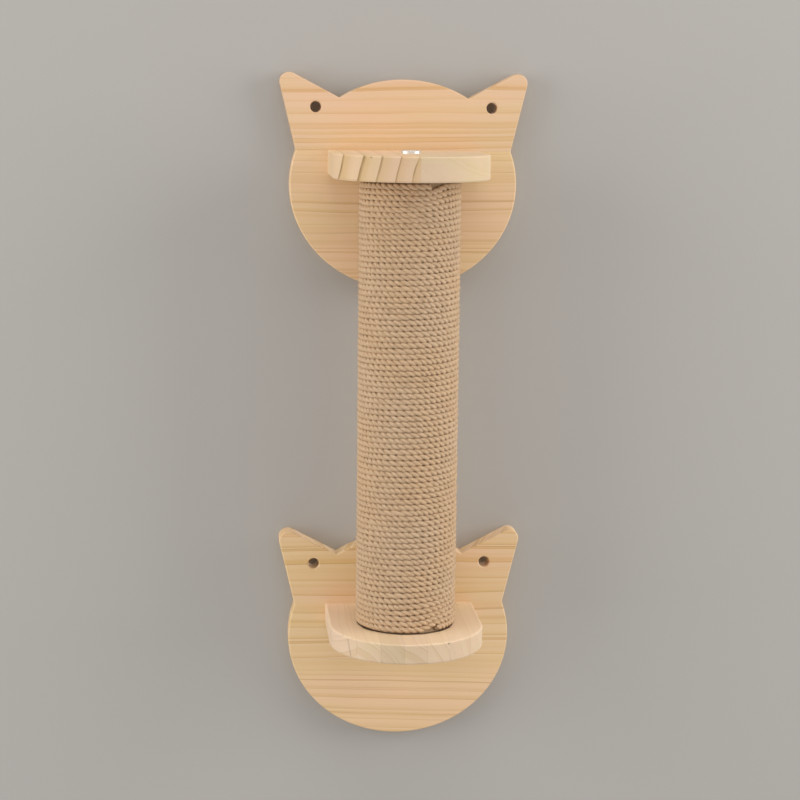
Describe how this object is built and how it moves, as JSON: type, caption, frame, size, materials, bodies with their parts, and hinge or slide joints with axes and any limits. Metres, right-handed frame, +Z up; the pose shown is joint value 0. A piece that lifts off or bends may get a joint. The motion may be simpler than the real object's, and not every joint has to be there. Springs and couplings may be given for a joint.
{
  "type": "wall-mounted cat scratching post",
  "caption": "Wall-mounted cat scratching post: a rope-wound post clamped between tongue-shaped shelves on wooden wall plates cut in a cat's head outline.",
  "frame": {"origin": "centre of the four wall holes, on the wall plane at the back of the plates", "axes": "+X to the right seen from the front, +Y into the wall, +Z up along the post"},
  "size_m": [0.2246, 0.1615, 0.6178],
  "materials": {
    "upper_plate_pine": "sanded pine, clear matt",
    "lower_plate_pine": "sanded pine, clear matt",
    "shelf_pine": "sanded pine, clear matt",
    "jute": "three-strand laid jute rope",
    "tube_paper": "spiral-wound kraft paper",
    "inner_wood": "plain turned wood",
    "bolt_steel": "bright nickel plate",
    "zinc_steel": "zinc plate"
  },
  "bodies": {
    "root": {"upper_wall_plate": "upper_plate_pine", "lower_wall_plate": "lower_plate_pine", "upper_shelf": "shelf_pine", "lower_shelf": "shelf_pine", "upper_shelf_screws": "zinc_steel", "lower_shelf_screws": "zinc_steel", "upper_shelf_dowels": "inner_wood", "lower_shelf_dowels": "inner_wood", "post_tube": "tube_paper", "upper_end_plug": "inner_wood", "lower_end_plug": "inner_wood", "upper_plug_pins": "zinc_steel", "lower_plug_pins": "zinc_steel", "upper_tee_nut": "zinc_steel", "lower_tee_nut": "zinc_steel", "upper_post_bolt": "bolt_steel", "lower_post_bolt": "bolt_steel", "rope_winding": "jute"}
  },
  "joints": []
}
